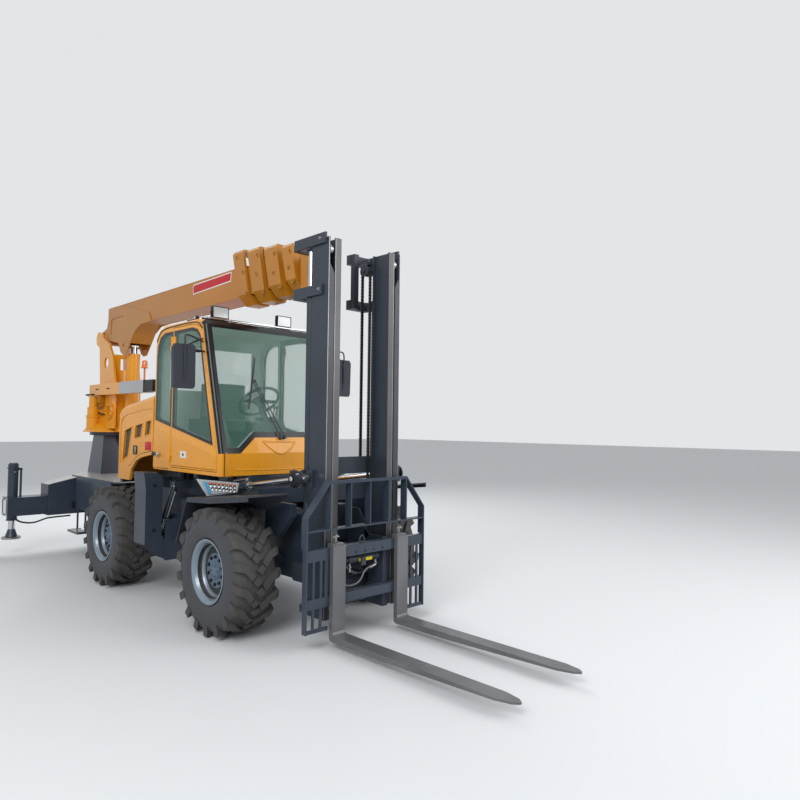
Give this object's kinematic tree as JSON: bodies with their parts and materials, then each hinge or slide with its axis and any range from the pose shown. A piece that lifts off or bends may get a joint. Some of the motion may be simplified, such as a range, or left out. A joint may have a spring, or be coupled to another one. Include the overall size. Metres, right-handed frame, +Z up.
{
  "type": "rough-terrain forklift with slewing crane",
  "caption": "Rough-terrain diesel forklift with a full cab, an upright mast and a slewing telescopic crane that stands on rear outriggers.",
  "frame": {"origin": "Ground level under the middle of the machine's length, on its centre plane.", "axes": "+X forward, from the crane end to the fork tips; +Y left; +Z up"},
  "size_m": [7.9098, 2.808, 3.63],
  "materials": {
    "body_paint": "semi-gloss amber yellow enamel",
    "chassis_paint": "satin dark blue-grey enamel",
    "mast_paint": "satin dark grey enamel with bare sliding faces",
    "fender_plastic": "matt dark moulded fender",
    "lamp_black": "dark lamp body with clear front",
    "window_glass": "green tinted laminated glass",
    "trim_black": "grained black trim",
    "bright_steel": "polished",
    "mesh_black": "black perforated mesh",
    "engine_iron": "painted casting",
    "silver_paint": "satin silver",
    "lens_amber": "amber lens",
    "tyre_rubber": "matt rubber",
    "rim_silver": "silver enamel",
    "chain_steel": "oiled leaf chain",
    "fork_steel": "worn dark forging",
    "foot_steel": "dark painted jack leg and foot plate"
  },
  "bodies": {
    "chassis": {"frame": "chassis_paint", "front_frame": "chassis_paint", "rear_deck": "chassis_paint", "crane_base": "chassis_paint", "axles": "chassis_paint", "fenders": "fender_plastic", "lamps": "lamp_black", "cab_shell": "body_paint", "cab_glass": "window_glass", "cab_interior": "trim_black", "roof_rail": "bright_steel", "hood": "body_paint", "grilles": "mesh_black", "engine": "engine_iron"},
    "wheel_fl": {"tyre_fl": "tyre_rubber", "rim_fl": "rim_silver"},
    "wheel_fr": {"tyre_fr": "tyre_rubber", "rim_fr": "rim_silver"},
    "wheel_rl": {"tyre_rl": "tyre_rubber", "rim_rl": "rim_silver"},
    "wheel_rr": {"tyre_rr": "tyre_rubber", "rim_rr": "rim_silver"},
    "knuckle_left": {"knuckle_l": "chassis_paint"},
    "knuckle_right": {"knuckle_r": "chassis_paint"},
    "door_left": {"door_l": "body_paint", "door_glass_l": "window_glass", "mirror_l": "trim_black"},
    "door_right": {"door_r": "body_paint", "door_glass_r": "window_glass", "mirror_r": "trim_black"},
    "stand_left": {"stand_arm_l": "chassis_paint"},
    "stand_right": {"stand_arm_r": "chassis_paint"},
    "stand_barrel_left": {"stand_barrel_l": "chassis_paint"},
    "stand_barrel_right": {"stand_barrel_r": "chassis_paint"},
    "stand_rod_left": {"stand_rod_l": "bright_steel"},
    "stand_rod_right": {"stand_rod_r": "bright_steel"},
    "outrigger_left": {"outrigger_l": "chassis_paint"},
    "outrigger_right": {"outrigger_r": "chassis_paint"},
    "jack_left": {"jack_l": "foot_steel"},
    "jack_right": {"jack_r": "foot_steel"},
    "mast": {"mast_outer": "mast_paint"},
    "mast_slide": {"mast_inner": "mast_paint", "lift_rods": "bright_steel", "chains": "chain_steel"},
    "carriage": {"lift_carriage": "chassis_paint"},
    "shifter": {"side_shifter": "chassis_paint", "forks": "fork_steel"},
    "tilt_cylinders": {"tilt_barrels": "chassis_paint"},
    "tilt_pistons": {"tilt_rods": "bright_steel"},
    "turret_body": {"turret": "body_paint", "valve_cover": "silver_paint", "beacon": "lens_amber"},
    "boom_base": {"boom_1": "body_paint"},
    "boom_second": {"boom_2": "body_paint"},
    "boom_third": {"boom_3": "body_paint"},
    "boom_fourth": {"boom_4": "body_paint"},
    "boom_tip": {"boom_5": "body_paint"},
    "luff_cylinder": {"luff_barrel": "body_paint"},
    "luff_piston": {"luff_rod": "bright_steel"},
    "hook_link": {"hook": "body_paint"}
  },
  "joints": [
    {"name": "front_wheel_left", "type": "hinge", "parent": "chassis", "child": "wheel_fl", "pos_m": [1.245, 0.825, 0.535], "axis": [0, 1, 0], "continuous": true},
    {"name": "steering_left", "type": "hinge", "parent": "chassis", "child": "knuckle_left", "pos_m": [-1.105, 0.62, 0.535], "axis": [0, 0, 1], "range_deg": [-28, 28]},
    {"name": "rear_wheel_left", "type": "hinge", "parent": "knuckle_left", "child": "wheel_rl", "pos_m": [-1.105, 0.825, 0.535], "axis": [0, 1, 0], "continuous": true},
    {"name": "door_hinge_left", "type": "hinge", "parent": "chassis", "child": "door_left", "pos_m": [-0.179, 0.694, 2], "axis": [0, 0, 1], "range_deg": [0, 170]},
    {"name": "stand_swing_left", "type": "hinge", "parent": "chassis", "child": "stand_left", "pos_m": [-0.265, 0.7, 0.43], "axis": [-1, 0, 0], "range_deg": [0, 100]},
    {"name": "stand_barrel_swing_left", "type": "hinge", "parent": "chassis", "child": "stand_barrel_left", "pos_m": [-0.265, 0.58, 1.14], "axis": [1, 0, 0], "range_deg": [-1, 10]},
    {"name": "stand_rod_slide_left", "type": "slide", "parent": "stand_barrel_left", "child": "stand_rod_left", "axis": [0, 0.2961, -0.9552], "range_m": [0, 0.325]},
    {"name": "outrigger_slide_left", "type": "slide", "parent": "chassis", "child": "outrigger_left", "axis": [0, 1, 0], "range_m": [-0.28, 0.25]},
    {"name": "jack_slide_left", "type": "slide", "parent": "outrigger_left", "child": "jack_left", "axis": [0, 0, -1], "range_m": [0, 0.215]},
    {"name": "front_wheel_right", "type": "hinge", "parent": "chassis", "child": "wheel_fr", "pos_m": [1.245, -0.825, 0.535], "axis": [0, 1, 0], "continuous": true},
    {"name": "steering_right", "type": "hinge", "parent": "chassis", "child": "knuckle_right", "pos_m": [-1.105, -0.62, 0.535], "axis": [0, 0, 1], "range_deg": [-28, 28]},
    {"name": "rear_wheel_right", "type": "hinge", "parent": "knuckle_right", "child": "wheel_rr", "pos_m": [-1.105, -0.825, 0.535], "axis": [0, 1, 0], "continuous": true},
    {"name": "door_hinge_right", "type": "hinge", "parent": "chassis", "child": "door_right", "pos_m": [-0.179, -0.694, 2], "axis": [0, 0, -1], "range_deg": [0, 170]},
    {"name": "stand_swing_right", "type": "hinge", "parent": "chassis", "child": "stand_right", "pos_m": [-0.265, -0.7, 0.43], "axis": [1, 0, 0], "range_deg": [0, 100]},
    {"name": "stand_barrel_swing_right", "type": "hinge", "parent": "chassis", "child": "stand_barrel_right", "pos_m": [-0.265, -0.58, 1.14], "axis": [-1, 0, 0], "range_deg": [-1, 10]},
    {"name": "stand_rod_slide_right", "type": "slide", "parent": "stand_barrel_right", "child": "stand_rod_right", "axis": [0, -0.2961, -0.9552], "range_m": [0, 0.325]},
    {"name": "outrigger_slide_right", "type": "slide", "parent": "chassis", "child": "outrigger_right", "axis": [0, -1, 0], "range_m": [-0.28, 0.25]},
    {"name": "jack_slide_right", "type": "slide", "parent": "outrigger_right", "child": "jack_right", "axis": [0, 0, -1], "range_m": [0, 0.215]},
    {"name": "mast_tilt", "type": "hinge", "parent": "chassis", "child": "mast", "pos_m": [1.665, 0, 0.52], "axis": [0, -1, 0], "range_deg": [-6, 12]},
    {"name": "tilt_cylinder_swing", "type": "hinge", "parent": "chassis", "child": "tilt_cylinders", "pos_m": [0.625, 0, 1.16], "axis": [0, -1, 0], "range_deg": [-2, 4]},
    {"name": "tilt_piston_slide", "type": "slide", "parent": "tilt_cylinders", "child": "tilt_pistons", "axis": [0.9905, 0, 0.1376], "range_m": [-0.18, 0.09]},
    {"name": "mast_lift", "type": "slide", "parent": "mast", "child": "mast_slide", "axis": [0, 0, 1], "range_m": [0, 2.25]},
    {"name": "carriage_lift", "type": "slide", "parent": "mast_slide", "child": "carriage", "axis": [0, 0, 1], "range_m": [0, 2.25]},
    {"name": "side_shift", "type": "slide", "parent": "carriage", "child": "shifter", "axis": [0, 1, 0], "range_m": [-0.1, 0.1]},
    {"name": "slew", "type": "hinge", "parent": "chassis", "child": "turret_body", "pos_m": [-3.555, 0, 1.65], "axis": [0, 0, 1], "range_deg": [-180, 180]},
    {"name": "luff", "type": "hinge", "parent": "turret_body", "child": "boom_base", "pos_m": [-3.685, 0, 3.02], "axis": [0, -1, 0], "range_deg": [0, 65]},
    {"name": "boom_extend", "type": "slide", "parent": "boom_base", "child": "boom_second", "axis": [1, 0, 0], "range_m": [0, 2.9]},
    {"name": "boom_third_slide", "type": "slide", "parent": "boom_second", "child": "boom_third", "axis": [1, 0, 0], "range_m": [0, 2.9]},
    {"name": "boom_fourth_slide", "type": "slide", "parent": "boom_third", "child": "boom_fourth", "axis": [1, 0, 0], "range_m": [0, 2.9]},
    {"name": "boom_tip_slide", "type": "slide", "parent": "boom_fourth", "child": "boom_tip", "axis": [1, 0, 0], "range_m": [0, 2.9]},
    {"name": "luff_cylinder_swing", "type": "hinge", "parent": "turret_body", "child": "luff_cylinder", "pos_m": [-2.905, 0, 1.725], "axis": [0, -1, 0], "range_deg": [0, 12]},
    {"name": "luff_piston_slide", "type": "slide", "parent": "luff_cylinder", "child": "luff_piston", "axis": [0.0349, 0, 0.9994], "range_m": [0, 0.855]},
    {"name": "hook_swing", "type": "hinge", "parent": "boom_tip", "child": "hook_link", "pos_m": [1.345, 0, 3.04], "axis": [0, -1, 0], "range_deg": [-70, 10]}
  ],
  "couplings": [
    {"joint": "steering_right", "follows": "steering_left", "ratio": 1},
    {"joint": "tilt_cylinder_swing", "follows": "mast_tilt", "ratio": 0.24},
    {"joint": "tilt_piston_slide", "follows": "mast_tilt", "m_per_rad": -0.796},
    {"joint": "carriage_lift", "follows": "mast_lift", "ratio": 1},
    {"joint": "boom_third_slide", "follows": "boom_extend", "ratio": 1},
    {"joint": "boom_fourth_slide", "follows": "boom_extend", "ratio": 1},
    {"joint": "boom_tip_slide", "follows": "boom_extend", "ratio": 1},
    {"joint": "luff_cylinder_swing", "follows": "luff", "ratio": 0.1626},
    {"joint": "luff_piston_slide", "follows": "luff", "m_per_rad": 0.7505},
    {"joint": "hook_swing", "follows": "luff", "ratio": -1},
    {"joint": "stand_barrel_swing_left", "follows": "stand_swing_left", "ratio": 0.07},
    {"joint": "stand_rod_slide_left", "follows": "stand_swing_left", "m_per_rad": 0.1838},
    {"joint": "stand_barrel_swing_right", "follows": "stand_swing_right", "ratio": 0.07},
    {"joint": "stand_rod_slide_right", "follows": "stand_swing_right", "m_per_rad": 0.1838}
  ]
}
